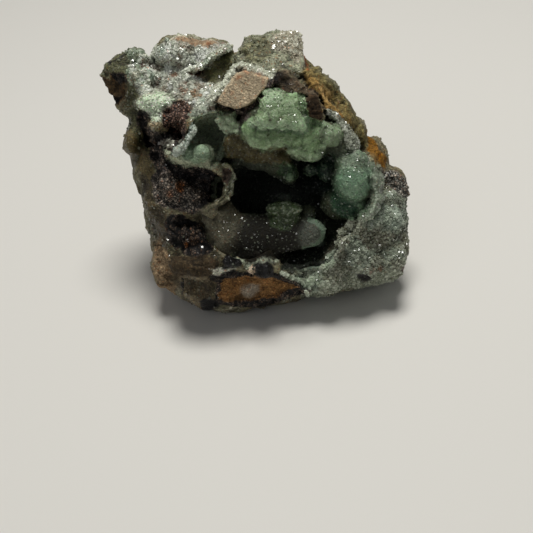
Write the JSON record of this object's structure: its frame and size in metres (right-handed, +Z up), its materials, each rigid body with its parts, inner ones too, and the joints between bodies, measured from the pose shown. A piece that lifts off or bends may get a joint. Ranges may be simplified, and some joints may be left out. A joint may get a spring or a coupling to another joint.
{
  "type": "smithsonite specimen",
  "caption": "Broken iron-stained rock with a flat foot, open at the front in a deep hollow lined with green botryoidal smithsonite.",
  "frame": {"origin": "on the flat foot the specimen rests on, under the middle of its open face", "axes": "+X along the specimen's longest extent, to the right as seen from the open side; -Y towards the open side; +Z up from the foot"},
  "size_m": [0.0444, 0.0336, 0.0379],
  "materials": {
    "matrix": null,
    "smithsonite_crust": null
  },
  "bodies": {
    "root": {"matrix": "matrix", "smithsonite_crust": "smithsonite_crust"}
  },
  "joints": []
}
